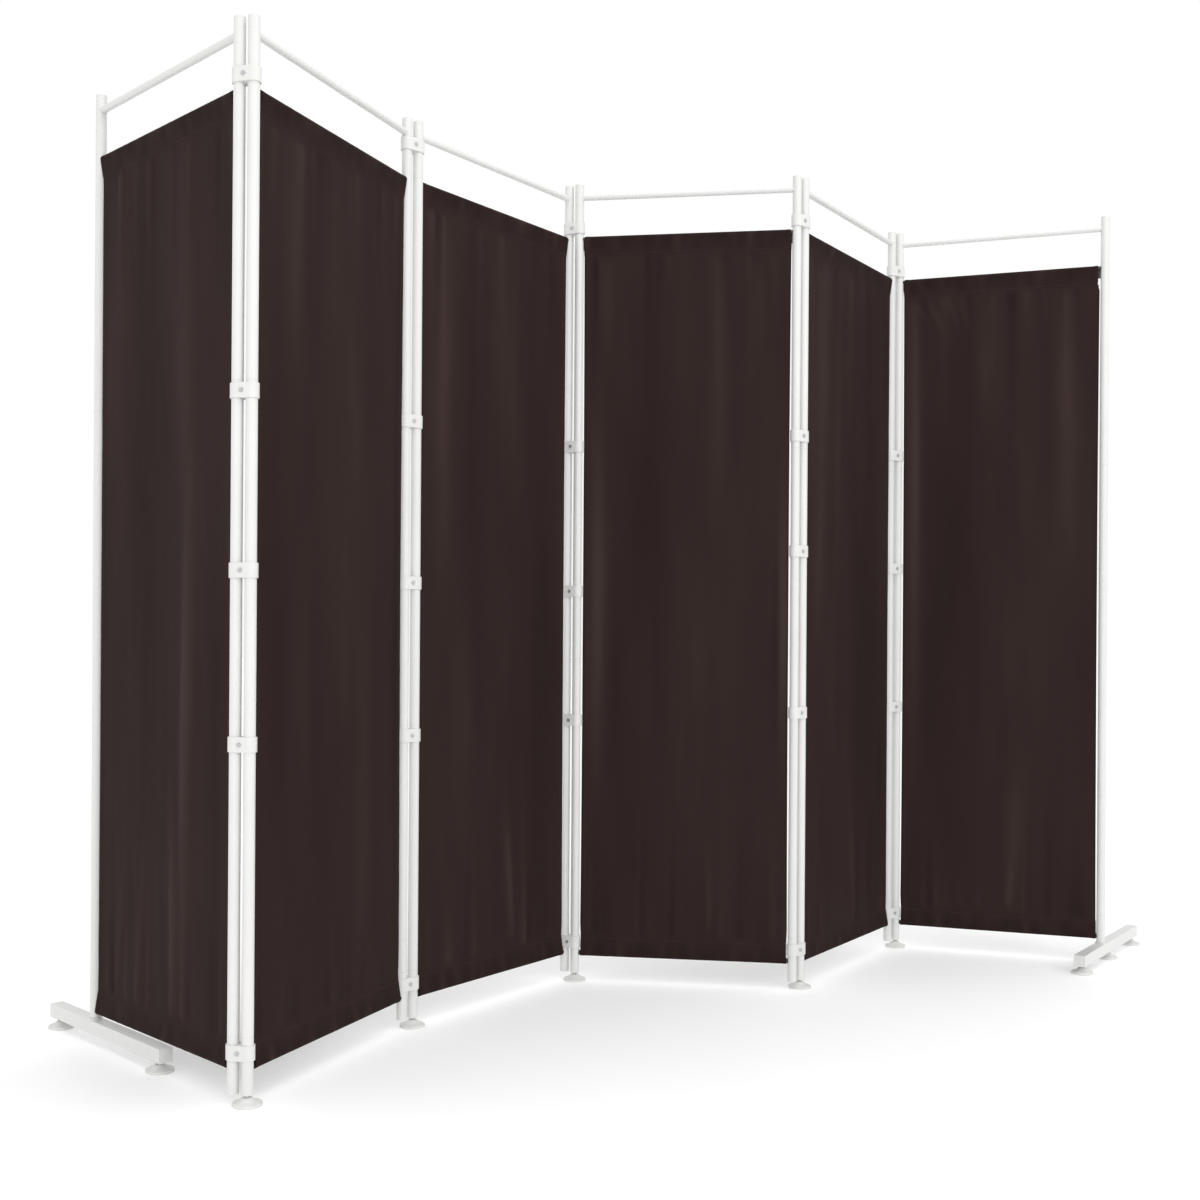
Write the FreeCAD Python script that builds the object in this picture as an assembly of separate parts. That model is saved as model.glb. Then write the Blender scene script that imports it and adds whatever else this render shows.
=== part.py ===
"""Folding privacy screen: six cloth panels in tube frames, hinged in a chain by double clips.

Every panel is two upright posts, a top rail, two hem rods and a cloth that hangs on the rods.
Neighbouring posts stand side by side in hinge clips, and each post turns in its own ring of the clip.
The two outer posts stand on foot bars that turn about the post, and the rest on levelling pads.

Frame: +Z up from the floor, +X along the line through the two outer posts, origin on the floor
under the middle of the bounding box.  All lengths are in millimetres, all angles in degrees.
"""
import FreeCAD
import Part
import math
import os
from FreeCAD import Placement, Rotation, Vector

# Whole screen as it stands
SCREEN_HEIGHT = 1715.0
PANEL_WIDTH = 465.0  # post axis to post axis
POST_PITCH = 25.0  # axis to axis of the two posts in one hinge clip
PANEL_HEADINGS = (-62.0, 49.0, 35.0, -26.5, 37.0, -36.5)
HINGE_HEADINGS = (-32.0, 24.0, -45.0, 24.0, 12.0)

# Posts, their caps and plugs
POST_DIAMETER = 19.0
POST_WALL = 0.8
POST_FLOOR_GAP = 17.0
CAP_THICKNESS = 3.0
CAP_PLUG_LENGTH = 12.0
PLUG_LENGTH = 26.0
PLUG_CLEARANCE = 0.1

# Top rail and hem rods
RAIL_DIAMETER = 12.7
RAIL_WALL = 0.8
RAIL_DROP = 27.0  # below the top of the posts
ROD_DIAMETER = 10.0
BUTT_GAP = 0.05  # between a rail's hollowed end and the post it meets
TONGUE_LENGTH = 24.0
TONGUE_DEPTH = 28.0
TONGUE_THICKNESS = 1.0

# Cloth
CLOTH_TOP_DROP = 111.0  # below the top of the posts
CLOTH_FLOOR_GAP = 53.0
CLOTH_THICKNESS = 1.2
HEM_DEPTH = 43.0
HEM_EASE = 0.4
HEM_STITCH_BAND = 6.0
HEM_POST_CLEARANCE = 0.8
HEM_CLIP_CLEARANCE = 0.7
CLOTH_CLIP_CLEARANCE = 1.2
FOLD_DEPTH = 3.0
FOLD_SHARES = (0.11, 0.17, 0.13, 0.20, 0.15, 0.24)
LAST_HEM_SHORTFALL = 4.0

# Hinge clips
CLIP_HEIGHT = 24.0
CLIP_WALL = 2.2
RING_CLEARANCE = 0.1
TOP_CLIP_GAP = 6.0
RAIL_CLIP_GAP = 2.0
ROD_CLIP_GAP = 6.5
CLIPS_UNDER_RAIL = (2,)
MIDDLE_CLIP_SHARES = (
    (0.656, 0.491, 0.331),
    (0.668, 0.490, 0.322),
    (0.671, 0.489, 0.327),
    (0.681, 0.539, 0.340),
    (0.688, 0.530, 0.337),
)
SCREW_DIAMETER = 4.0
SCREW_HEAD_WIDTH = 7.0
SCREW_HEAD_HEIGHT = 1.4
SCREW_TIP_GAP = 2.0
SCREW_CLEARANCE = 0.1

# Foot bars of the two outer posts
BAR_LENGTH = 410.0
BAR_SIZE = 25.0
BAR_WALL = 1.2
BAR_CORNER = 1.5
BAR_FLOOR_GAP = 18.0
BAR_POST_SHARE = 0.38
BAR_CAP_THICKNESS = 2.5
BAR_CAP_PLUG = 10.0
COLLAR_DIAMETER = 24.0
COLLAR_HEIGHT = 3.0
SEAT_GAP = 0.2
SPIGOT_HEIGHT = 60.0
SPIGOT_CLEARANCE = 0.1
LEFT_BAR_TURN = 0.0  # from the end panel's heading to the bar's long end
RIGHT_BAR_TURN = 72.0

# Levelling pads
PAD_DIAMETER = 48.0
PAD_RIM = 4.0
PAD_HEIGHT = 13.0
PAD_NECK_DIAMETER = 15.0
STEM_DIAMETER = 8.0
STEM_TOP = 41.0
STEM_CLEARANCE = 0.1
PAD_INSET = 20.0

OVERRUN = 5.0  # how far a cutting tool runs past the faces it cuts

UP = Vector(0, 0, 1)
ALONG = Vector(1, 0, 0)
ACROSS = Vector(0, 1, 0)
ORIGIN = Vector(0, 0, 0)

POST_RADIUS = POST_DIAMETER / 2
POST_BORE = POST_RADIUS - POST_WALL
POST_TOP = SCREEN_HEIGHT - CAP_THICKNESS
CLIP_BORE = POST_RADIUS + RING_CLEARANCE
CLIP_RADIUS = CLIP_BORE + CLIP_WALL
ROD_RADIUS = ROD_DIAMETER / 2
SLEEVE_BORE = ROD_RADIUS + HEM_EASE
SLEEVE_RADIUS = SLEEVE_BORE + CLOTH_THICKNESS
CLOTH_TOP = SCREEN_HEIGHT - CLOTH_TOP_DROP
RAIL_HEIGHT = SCREEN_HEIGHT - RAIL_DROP
UPPER_ROD_HEIGHT = CLOTH_TOP - SLEEVE_RADIUS
LOWER_ROD_HEIGHT = CLOTH_FLOOR_GAP + SLEEVE_RADIUS
BAR_TOP = BAR_FLOOR_GAP + BAR_SIZE
SEAT_HEIGHT = BAR_TOP + COLLAR_HEIGHT + SEAT_GAP


def heading_vector(heading, length):
    """Horizontal vector of a length along a heading."""
    return Vector(length * math.cos(math.radians(heading)), length * math.sin(math.radians(heading)), 0)


def placed(shape, position, heading):
    """A copy of a shape, turned about Z to a heading and moved to a position."""
    copy = shape.copy()
    copy.Placement = Placement(position, Rotation(UP, heading)) * copy.Placement
    return copy


def upright(radius, bottom, top):
    """A solid cylinder about the Z axis."""
    return Part.makeCylinder(radius, top - bottom, Vector(0, 0, bottom), UP)


def turned(points):
    """A solid of revolution about Z from the (radius, height) corners of its half outline."""
    corners = [Vector(radius, 0, height) for radius, height in points]
    outline = Part.makePolygon(corners + corners[:1])
    return Part.Face(outline).revolve(ORIGIN, UP, 360)


def standing_posts():
    """Left and right post axis of each panel on the floor, starting from the first post at zero."""
    spots = []
    spot = ORIGIN
    for panel, heading in enumerate(PANEL_HEADINGS):
        far = spot + heading_vector(heading, PANEL_WIDTH)
        spots.append((spot, far))
        if panel < len(HINGE_HEADINGS):
            spot = far + heading_vector(HINGE_HEADINGS[panel], POST_PITCH)
    return spots


def make_post(bottom):
    """Round steel tube, open at both ends."""
    bore = upright(POST_BORE, bottom - OVERRUN, POST_TOP + OVERRUN)
    return upright(POST_RADIUS, bottom, POST_TOP).cut(bore)


def make_top_cap():
    """Moulded cap whose plug sits in the top of a post."""
    plug_radius = POST_BORE - PLUG_CLEARANCE
    plug_end = POST_TOP - CAP_PLUG_LENGTH
    return turned((
        (0, plug_end),
        (plug_radius, plug_end),
        (plug_radius, POST_TOP),
        (POST_RADIUS, POST_TOP),
        (POST_RADIUS, SCREEN_HEIGHT),
        (0, SCREEN_HEIGHT),
    ))


def make_bottom_plug(takes_stem):
    """Plug flush with the bottom of a post, bored through where a pad's stem screws in."""
    plug_top = POST_FLOOR_GAP + PLUG_LENGTH
    plug = upright(POST_BORE - PLUG_CLEARANCE, POST_FLOOR_GAP, plug_top)
    if not takes_stem:
        return plug
    return plug.cut(upright(STEM_DIAMETER / 2 + STEM_CLEARANCE, POST_FLOOR_GAP - OVERRUN, plug_top + OVERRUN))


def between_posts(bar):
    """A bar that spans a panel, its ends hollowed to sit against the two posts."""
    post = upright(POST_RADIUS + BUTT_GAP, 0, SCREEN_HEIGHT)
    return bar.cut([post, placed(post, Vector(PANEL_WIDTH, 0, 0), 0)])


def spanning_rod(radius, height):
    """Round rod from post axis to post axis."""
    return Part.makeCylinder(radius, PANEL_WIDTH, Vector(0, 0, height), ALONG)


def make_top_rail():
    """Round tube across the top of a panel."""
    outside = spanning_rod(RAIL_DIAMETER / 2, RAIL_HEIGHT)
    return between_posts(outside.cut(spanning_rod(RAIL_DIAMETER / 2 - RAIL_WALL, RAIL_HEIGHT)))


def make_lower_rod():
    """Plain rod that weighs the lower hem down."""
    return between_posts(spanning_rod(ROD_RADIUS, LOWER_ROD_HEIGHT))


def make_upper_rod():
    """Upper hem rod with a flat tongue at each end that spreads the corner of the hem."""
    rod = spanning_rod(ROD_RADIUS, UPPER_ROD_HEIGHT)
    reach = POST_RADIUS + TONGUE_LENGTH
    low = UPPER_ROD_HEIGHT + ROD_RADIUS - TONGUE_DEPTH
    tongues = [
        Part.makeBox(
            reach,
            TONGUE_THICKNESS,
            UPPER_ROD_HEIGHT - low,
            Vector(left, -TONGUE_THICKNESS / 2, low),
        )
        for left in (0, PANEL_WIDTH - reach)
    ]
    return between_posts(rod.fuse(tongues))


def make_sleeve(rod_height, seam_height, left, right):
    """Hem sewn round a rod: a drop-shaped tube whose two layers meet in a stitched band."""
    up = 1 if rod_height > seam_height else -1
    crown = rod_height + up * SLEEVE_RADIUS
    hollow_crown = rod_height + up * SLEEVE_BORE
    hollow_tip = seam_height + up * HEM_STITCH_BAND
    slant = math.sqrt(2) / 2
    seam_side = FOLD_DEPTH + CLOTH_THICKNESS
    hollow_side = seam_side - CLOTH_THICKNESS

    def point(across, height):
        return Vector(left, across, height)

    def crown_arcs(radius, top):
        shoulder = rod_height + up * radius * slant
        first = Part.Arc(point(-radius, rod_height), point(-radius * slant, shoulder), point(0, top))
        second = Part.Arc(point(0, top), point(radius * slant, shoulder), point(radius, rod_height))
        return [first.toShape(), second.toShape()]

    def closed(arcs, corners):
        ends = [arcs[-1].Vertexes[-1].Point] + corners + [arcs[0].Vertexes[0].Point]
        sides = [Part.makeLine(a, b) for a, b in zip(ends, ends[1:])]
        return Part.Face(Part.Wire(arcs + sides))

    outside = closed(
        crown_arcs(SLEEVE_RADIUS, crown),
        [point(seam_side, seam_height), point(-seam_side, seam_height)],
    )
    hollow = closed(
        crown_arcs(SLEEVE_BORE, hollow_crown),
        [point(hollow_side, hollow_tip), point(-hollow_side, hollow_tip)],
    )
    return outside.cut(hollow).extrude(Vector(right - left, 0, 0))


def fold_outline(left, right, height, shares):
    """Closed plan of the hanging cloth: a wave of arcs with the cloth's thickness."""
    width = (right - left) / sum(shares)
    places = [left]
    for share in shares:
        places.append(places[-1] + width * share)

    def wave(side):
        arcs = []
        for number, (start, end) in enumerate(zip(places, places[1:])):
            crest = FOLD_DEPTH if number % 2 else -FOLD_DEPTH
            arcs.append(Part.Arc(
                Vector(start, side, height),
                Vector((start + end) / 2, side + crest, height),
                Vector(end, side, height),
            ).toShape())
        return arcs

    side = CLOTH_THICKNESS / 2
    first, last = places[0], places[-1]
    ends = [
        Part.makeLine(Vector(last, side, height), Vector(last, -side, height)),
        Part.makeLine(Vector(first, -side, height), Vector(first, side, height)),
    ]
    return Part.Wire(Part.__sortEdges__(wave(side) + wave(-side) + ends))


def make_cloth(panel):
    """Cloth of one panel: a softly folded sheet between an upper and a lower hem sleeve."""
    shares = FOLD_SHARES[panel:] + FOLD_SHARES[:panel]
    last = panel == len(PANEL_HEADINGS) - 1
    short = LAST_HEM_SHORTFALL if last else 0
    hem_side = POST_RADIUS + HEM_POST_CLEARANCE
    low_side = CLIP_RADIUS + HEM_CLIP_CLEARANCE
    sheet_side = CLIP_RADIUS + CLOTH_CLIP_CLEARANCE
    upper_seam = CLOTH_TOP - HEM_DEPTH
    lower_seam = CLOTH_FLOOR_GAP + HEM_DEPTH
    overlap = HEM_STITCH_BAND / 2
    plan = fold_outline(sheet_side, PANEL_WIDTH - sheet_side - short, lower_seam - overlap, shares)
    sheet = Part.Face(plan).extrude(Vector(0, 0, upper_seam - lower_seam + 2 * overlap))
    upper = make_sleeve(UPPER_ROD_HEIGHT, upper_seam, hem_side, PANEL_WIDTH - hem_side - short)
    lower = make_sleeve(LOWER_ROD_HEIGHT, lower_seam, low_side, PANEL_WIDTH - low_side)
    return sheet.fuse([upper, lower])


def clip_heights(hinge):
    """Middle heights of the five clips of one hinge, from the top down."""
    half = CLIP_HEIGHT / 2
    if hinge in CLIPS_UNDER_RAIL:
        top = RAIL_HEIGHT - RAIL_DIAMETER / 2 - RAIL_CLIP_GAP - half
    else:
        top = CLOTH_TOP + TOP_CLIP_GAP + half
    bottom = LOWER_ROD_HEIGHT + ROD_RADIUS + ROD_CLIP_GAP + half
    middle = [SCREEN_HEIGHT * share for share in MIDDLE_CLIP_SHARES[hinge - 1]]
    return [top] + middle + [bottom]


def make_clip_half(side):
    """One half of a hinge clip, to the left (1) or right (-1) of the line through the two posts."""
    low = -CLIP_HEIGHT / 2
    bores = [Part.makeCylinder(CLIP_BORE, CLIP_HEIGHT, Vector(place, 0, low), UP) for place in (0, POST_PITCH)]
    rounds = [Part.makeCylinder(CLIP_RADIUS, CLIP_HEIGHT, Vector(place, 0, low), UP) for place in (0, POST_PITCH)]
    block = Part.makeBox(POST_PITCH, 2 * CLIP_RADIUS, CLIP_HEIGHT, Vector(0, -CLIP_RADIUS, low))
    body = block.fuse(rounds).removeSplitter()
    half_depth = CLIP_RADIUS + OVERRUN
    half_space = Part.makeBox(
        POST_PITCH + 2 * half_depth,
        half_depth,
        CLIP_HEIGHT,
        Vector(-half_depth, 0 if side > 0 else -half_depth, low),
    )
    hole = SCREW_DIAMETER + 2 * SCREW_CLEARANCE
    screw_hole = Part.makeBox(
        hole,
        2 * half_depth,
        hole,
        Vector(POST_PITCH / 2 - hole / 2, -half_depth, -hole / 2),
    )
    return body.common(half_space).cut(bores + [screw_hole])


def make_clip_screw():
    """Hexagon-headed screw through both halves of a clip, head on the side that faces the room."""
    front = Vector(POST_PITCH / 2, -CLIP_RADIUS, 0)
    shank_length = 2 * CLIP_RADIUS - SCREW_TIP_GAP
    shank = Part.makeCylinder(SCREW_DIAMETER / 2, shank_length, front, ACROSS)
    corner = SCREW_HEAD_WIDTH / math.sqrt(3)
    corners = [
        front + Vector(corner * math.cos(math.radians(turn)), 0, corner * math.sin(math.radians(turn)))
        for turn in range(0, 360, 60)
    ]
    head = Part.Face(Part.makePolygon(corners + corners[:1])).extrude(Vector(0, -SCREW_HEAD_HEIGHT, 0))
    return shank.fuse(head)


def bar_ends():
    """Short and long end of a foot bar, along its length from the post axis."""
    short = -BAR_LENGTH * BAR_POST_SHARE
    return short, short + BAR_LENGTH


def pad_places(with_middle):
    """Places of the pads along a foot bar, from the post axis."""
    short, long = bar_ends()
    ends = [short + PAD_INSET, long - PAD_INSET]
    if with_middle:
        ends.insert(1, (short + long) / 2)
    return ends


def square_bar(start, length, size):
    """Square bar along X about the axis of the foot bar."""
    middle = BAR_FLOOR_GAP + BAR_SIZE / 2
    return Part.makeBox(length, size, size, Vector(start, -size / 2, middle - size / 2))


def rounded_bar(start, length):
    """Length of the foot bar's outside, with its long edges rounded."""
    block = square_bar(start, length, BAR_SIZE)
    long_edges = [edge for edge in block.Edges if abs(edge.tangentAt(0).x) == 1]
    return block.makeFillet(BAR_CORNER, long_edges)


def make_foot_bar(with_middle):
    """Square tube with a welded collar and the spigot on which the outer post turns."""
    short, long = bar_ends()
    length = BAR_LENGTH - 2 * BAR_CAP_THICKNESS
    start = short + BAR_CAP_THICKNESS
    outside = rounded_bar(start, length)
    inside = square_bar(start - OVERRUN, length + 2 * OVERRUN, BAR_SIZE - 2 * BAR_WALL)
    stem_hole = upright(STEM_DIAMETER / 2 + STEM_CLEARANCE, BAR_FLOOR_GAP - OVERRUN, BAR_FLOOR_GAP + OVERRUN)
    holes = [placed(stem_hole, Vector(place, 0, 0), 0) for place in pad_places(with_middle)]
    tube = outside.cut([inside] + holes)
    collar = upright(COLLAR_DIAMETER / 2, BAR_TOP, BAR_TOP + COLLAR_HEIGHT)
    spigot = upright(POST_BORE - SPIGOT_CLEARANCE, BAR_TOP, BAR_TOP + SPIGOT_HEIGHT)
    return tube.fuse([collar, spigot])


def make_bar_cap(outer_end, inward):
    """Moulded cap on one end of a foot bar, with a plug inside the tube."""
    plug_size = BAR_SIZE - 2 * BAR_WALL - 2 * PLUG_CLEARANCE
    plug_length = BAR_CAP_THICKNESS + BAR_CAP_PLUG
    plate_start = min(outer_end, outer_end + inward * BAR_CAP_THICKNESS)
    plug_start = min(outer_end, outer_end + inward * plug_length)
    plate = rounded_bar(plate_start, BAR_CAP_THICKNESS)
    return plate.fuse(square_bar(plug_start, plug_length, plug_size))


def make_pad():
    """Levelling pad: a low moulded cone and the screw stem that stands on it."""
    cone = turned((
        (0, 0),
        (PAD_DIAMETER / 2, 0),
        (PAD_DIAMETER / 2, PAD_RIM),
        (PAD_NECK_DIAMETER / 2, PAD_HEIGHT),
        (0, PAD_HEIGHT),
    ))
    return Part.makeCompound([cone, upright(STEM_DIAMETER / 2, PAD_HEIGHT, STEM_TOP)])


def add_panel(nodes, panel, spot):
    """The frame, cloth, caps and plugs of one panel."""
    first = panel == 0
    last = panel == len(PANEL_HEADINGS) - 1
    far = Vector(PANEL_WIDTH, 0, 0)
    plugs = [make_top_cap(), placed(make_top_cap(), far, 0)]
    if not first:
        plugs.append(make_bottom_plug(True))
    if not last:
        plugs.append(placed(make_bottom_plug(False), far, 0))
    pieces = {
        "left_post": make_post(SEAT_HEIGHT if first else POST_FLOOR_GAP),
        "right_post": placed(make_post(SEAT_HEIGHT if last else POST_FLOOR_GAP), far, 0),
        "top_rail": make_top_rail(),
        "hem_rods": Part.makeCompound([make_upper_rod(), make_lower_rod()]),
        "cloth": make_cloth(panel),
        "post_caps": Part.makeCompound(plugs),
    }
    for piece, shape in pieces.items():
        nodes[f"panel_{panel + 1}_{piece}"] = placed(shape, spot, PANEL_HEADINGS[panel])


def add_hinge(nodes, hinge, spot):
    """The five two-part clips of one hinge and their screws."""
    halves = [make_clip_half(1), make_clip_half(-1)]
    screw = make_clip_screw()
    heights = [Vector(0, 0, height) for height in clip_heights(hinge)]
    pieces = {
        "clip_halves": [placed(half, height, 0) for height in heights for half in halves],
        "clip_screws": [placed(screw, height, 0) for height in heights],
    }
    for piece, shapes in pieces.items():
        shape = Part.makeCompound(shapes)
        nodes[f"hinge_{hinge}_{piece}"] = placed(shape, spot, HINGE_HEADINGS[hinge - 1])


def add_foot(nodes, side, spot, heading, with_middle):
    """One foot bar with its end caps and pads, its long end along the heading."""
    short, long = bar_ends()
    caps = [make_bar_cap(short, 1), make_bar_cap(long, -1)]
    nodes[f"{side}_foot_bar"] = placed(make_foot_bar(with_middle), spot, heading)
    nodes[f"{side}_foot_bar_caps"] = placed(Part.makeCompound(caps), spot, heading)
    for number, place in enumerate(pad_places(with_middle), start=1):
        pad = placed(make_pad(), Vector(place, 0, 0), 0)
        nodes[f"{side}_foot_pad_{number}"] = placed(pad, spot, heading)


def build_nodes():
    """All pieces of the screen by name, placed from the first post."""
    nodes = {}
    spots = standing_posts()
    for panel, (left, right) in enumerate(spots):
        add_panel(nodes, panel, left)
        if panel < len(HINGE_HEADINGS):
            add_hinge(nodes, panel + 1, right)
            nodes[f"hinge_{panel + 1}_pad"] = placed(make_pad(), spots[panel + 1][0], 0)
    add_foot(nodes, "left", spots[0][0], PANEL_HEADINGS[0] + LEFT_BAR_TURN, False)
    add_foot(nodes, "right", spots[-1][1], PANEL_HEADINGS[-1] + RIGHT_BAR_TURN, True)
    return nodes


def centred(nodes):
    """The same pieces with the bounding box standing centred on the origin, and the shift used."""
    box = Part.makeCompound(list(nodes.values())).BoundBox
    shift = Vector(-box.Center.x, -box.Center.y, -box.ZMin)
    return {name: placed(shape, shift, 0) for name, shape in nodes.items()}, shift


NODES, SHIFT = centred(build_nodes())

os.makedirs("parts", exist_ok=True)
for node, solid in NODES.items():
    solid.exportStep(f"parts/{node}.step")
print(len(NODES), "nodes,", sum(len(solid.Solids) for solid in NODES.values()), "solids")
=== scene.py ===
# %% [markdown]
# # A folding privacy screen
# Six dark cloth panels hang in white tube frames that fold like an accordion.
# The frame of posts, rails, clips and feet comes from the CAD model and keeps its shape.
# This lesson dresses it: finishes for every tube and moulding, sewn cloths on the hem rods,
# threaded levelling pads, weld beads and tube seams, then a pale studio and the camera.

# %% Load the frame
import math
import random
from collections import namedtuple

import bpy
from mathutils import Matrix, Vector, noise


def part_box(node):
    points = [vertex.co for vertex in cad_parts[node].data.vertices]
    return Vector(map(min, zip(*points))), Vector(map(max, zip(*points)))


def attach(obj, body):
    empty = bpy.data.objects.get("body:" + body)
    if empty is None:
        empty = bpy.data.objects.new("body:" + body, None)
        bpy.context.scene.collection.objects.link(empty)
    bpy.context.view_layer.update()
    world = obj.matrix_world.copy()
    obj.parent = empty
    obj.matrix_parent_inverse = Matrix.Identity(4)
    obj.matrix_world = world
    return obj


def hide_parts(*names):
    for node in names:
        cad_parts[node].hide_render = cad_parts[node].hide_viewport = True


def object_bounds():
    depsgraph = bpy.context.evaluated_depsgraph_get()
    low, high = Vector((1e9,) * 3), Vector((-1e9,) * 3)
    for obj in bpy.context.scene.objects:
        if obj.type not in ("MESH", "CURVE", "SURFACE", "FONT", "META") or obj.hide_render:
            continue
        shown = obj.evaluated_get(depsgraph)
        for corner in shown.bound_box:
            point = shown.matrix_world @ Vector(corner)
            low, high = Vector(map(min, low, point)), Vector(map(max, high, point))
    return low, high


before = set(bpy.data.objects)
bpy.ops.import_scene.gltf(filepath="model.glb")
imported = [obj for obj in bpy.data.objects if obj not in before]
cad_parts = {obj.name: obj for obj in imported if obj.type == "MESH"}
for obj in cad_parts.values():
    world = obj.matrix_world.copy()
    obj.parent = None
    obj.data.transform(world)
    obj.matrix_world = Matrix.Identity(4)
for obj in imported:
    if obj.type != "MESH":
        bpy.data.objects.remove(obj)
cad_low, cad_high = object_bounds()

MM = 0.001
PANEL_COUNT = 6

# %% [markdown]
# ## Small helpers
# Colours are written as sRGB hex values, the way a paint chart gives them, and one function
# turns them into the linear values that shaders need. Another adds a node with its settings
# and links in one line, so that each material below reads like a recipe.

# %% Helpers for colours, nodes and pieces


def linear(chart_colour):
    """Linear RGBA of an sRGB hex colour such as '#3a2d2c'."""
    shares = [int(chart_colour[i : i + 2], 16) / 255 for i in (1, 3, 5)]
    return (*((c / 12.92 if c <= 0.04045 else ((c + 0.055) / 1.055) ** 2.4) for c in shares), 1.0)


def add(tree, kind, inputs=(), **settings):
    """A new node with its settings, and its inputs given as values or as sockets to link."""
    node = tree.nodes.new(kind)
    for name, value in settings.items():
        setattr(node, name, value)
    for socket, value in dict(inputs).items():
        if isinstance(value, bpy.types.NodeSocket):
            tree.links.new(value, node.inputs[socket])
        else:
            node.inputs[socket].default_value = value
    return node


def new_material(name):
    """An empty node material, its tree and the output's surface socket."""
    material = bpy.data.materials.new(name)
    material.use_nodes = True
    material.node_tree.nodes.clear()
    output = material.node_tree.nodes.new("ShaderNodeOutputMaterial")
    return material, material.node_tree, output.inputs["Surface"]


def band_scale(pitch):
    """Scale of a wave texture whose bands are this far apart."""
    return math.pi / (10 * pitch)


def show(name, mesh, *materials):
    """A piece at the origin with smooth faces and its materials."""
    piece = bpy.data.objects.new(name, mesh)
    bpy.context.scene.collection.objects.link(piece)
    mesh.polygons.foreach_set("use_smooth", [True] * len(mesh.polygons))
    for material in materials:
        mesh.materials.append(material)
    return piece


# %% [markdown]
# ## White powder coat
# Posts, rails and foot bars are steel tube with a baked white powder coat. The powder melts
# into a hard skin with a faint orange peel, so highlights are soft and slightly broken. The
# peel's waves are about 2 mm wide. A bump from one noise is enough, because the relief is only
# hundredths of a millimetre. A second, wide noise varies the gloss from handling.

# %% Powder coat material
PEEL_WAVE = 2.0 * MM
PEEL_RELIEF = 0.05 * MM
HANDLED_PATCH = 120.0 * MM


def make_powder_coat():
    """Baked white powder coat: satin white, soft highlights, faint orange peel."""
    material, tree, surface = new_material("white_powder_coat_baked")
    place = add(tree, "ShaderNodeTexCoord").outputs["Object"]
    peel = add(tree, "ShaderNodeTexNoise", {"Vector": place, "Scale": 1 / PEEL_WAVE, "Detail": 2.0})
    patch = add(
        tree, "ShaderNodeTexNoise", {"Vector": place, "Scale": 1 / HANDLED_PATCH, "Detail": 3.0}
    )
    gloss = add(
        tree,
        "ShaderNodeMapRange",
        {
            "Value": patch.outputs["Fac"],
            "From Min": 0.3,
            "From Max": 0.7,
            "To Min": 0.30,
            "To Max": 0.44,
        },
    )
    tint = add(tree, "ShaderNodeValToRGB", {"Fac": patch.outputs["Fac"]})
    tint.color_ramp.elements[0].color = linear("#d0d0cf")
    tint.color_ramp.elements[1].color = linear("#d9d9d8")
    relief = add(
        tree,
        "ShaderNodeBump",
        {"Height": peel.outputs["Fac"], "Strength": 0.08, "Distance": PEEL_RELIEF},
    )
    shader = add(
        tree,
        "ShaderNodeBsdfPrincipled",
        {
            "Base Color": tint.outputs["Color"],
            "Roughness": gloss.outputs["Result"],
            "Normal": relief.outputs["Normal"],
            "IOR": 1.5,
        },
    )
    tree.links.new(shader.outputs["BSDF"], surface)
    return material


powder_coat = make_powder_coat()
print("made", powder_coat.name)

# %% [markdown]
# ## Moulded white plastic
# Caps, hinge clips and pads are injection-moulded ABS, eroded to a fine matt grain in the
# mould. It is a touch warmer and duller than the paint next to it. The grain is about 0.4 mm,
# too fine to show here, so it is drawn at 1 mm.

# %% Moulded plastic material
MOULD_GRAIN = 1.0 * MM
GRAIN_RELIEF = 0.06 * MM
GRAIN_GLOSS = 0.06
MOULD_FLOW = 30.0 * MM


def make_moulding(name, dark, pale, rough):
    """Injection-moulded ABS: even colour, wide dull highlights, fine matt grain."""
    material, tree, surface = new_material(name)
    place = add(tree, "ShaderNodeTexCoord").outputs["Object"]
    grain = add(
        tree, "ShaderNodeTexNoise", {"Vector": place, "Scale": 1 / MOULD_GRAIN, "Detail": 3.0}
    )
    flow = add(
        tree, "ShaderNodeTexNoise", {"Vector": place, "Scale": 1 / MOULD_FLOW, "Detail": 2.0}
    )
    tint = add(tree, "ShaderNodeValToRGB", {"Fac": flow.outputs["Fac"]})
    tint.color_ramp.elements[0].color = linear(dark)
    tint.color_ramp.elements[1].color = linear(pale)
    gloss = add(
        tree,
        "ShaderNodeMapRange",
        {
            "Value": grain.outputs["Fac"],
            "To Min": rough - GRAIN_GLOSS,
            "To Max": rough + GRAIN_GLOSS,
        },
    )
    relief = add(
        tree,
        "ShaderNodeBump",
        {"Height": grain.outputs["Fac"], "Strength": 0.2, "Distance": GRAIN_RELIEF},
    )
    shader = add(
        tree,
        "ShaderNodeBsdfPrincipled",
        {
            "Base Color": tint.outputs["Color"],
            "Roughness": gloss.outputs["Result"],
            "Normal": relief.outputs["Normal"],
            "IOR": 1.54,
        },
    )
    tree.links.new(shader.outputs["BSDF"], surface)
    return material


white_moulding = make_moulding("white_abs_moulded", "#cfcfcc", "#d8d8d6", 0.46)
black_moulding = make_moulding("black_abs_moulded", "#121111", "#1c1b1b", 0.48)
print("made", white_moulding.name, black_moulding.name)

# %% [markdown]
# ## Zinc plating
# The clip screws and the pads' threaded stems are zinc-plated steel. Plating gives a grey metal
# with cloudy patches of gloss, and among white parts it reads as a small grey dot. Metallic is
# 1 and the clouds are a noise.

# %% Zinc plating material
ZINC_CLOUD = 3.0 * MM


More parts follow.
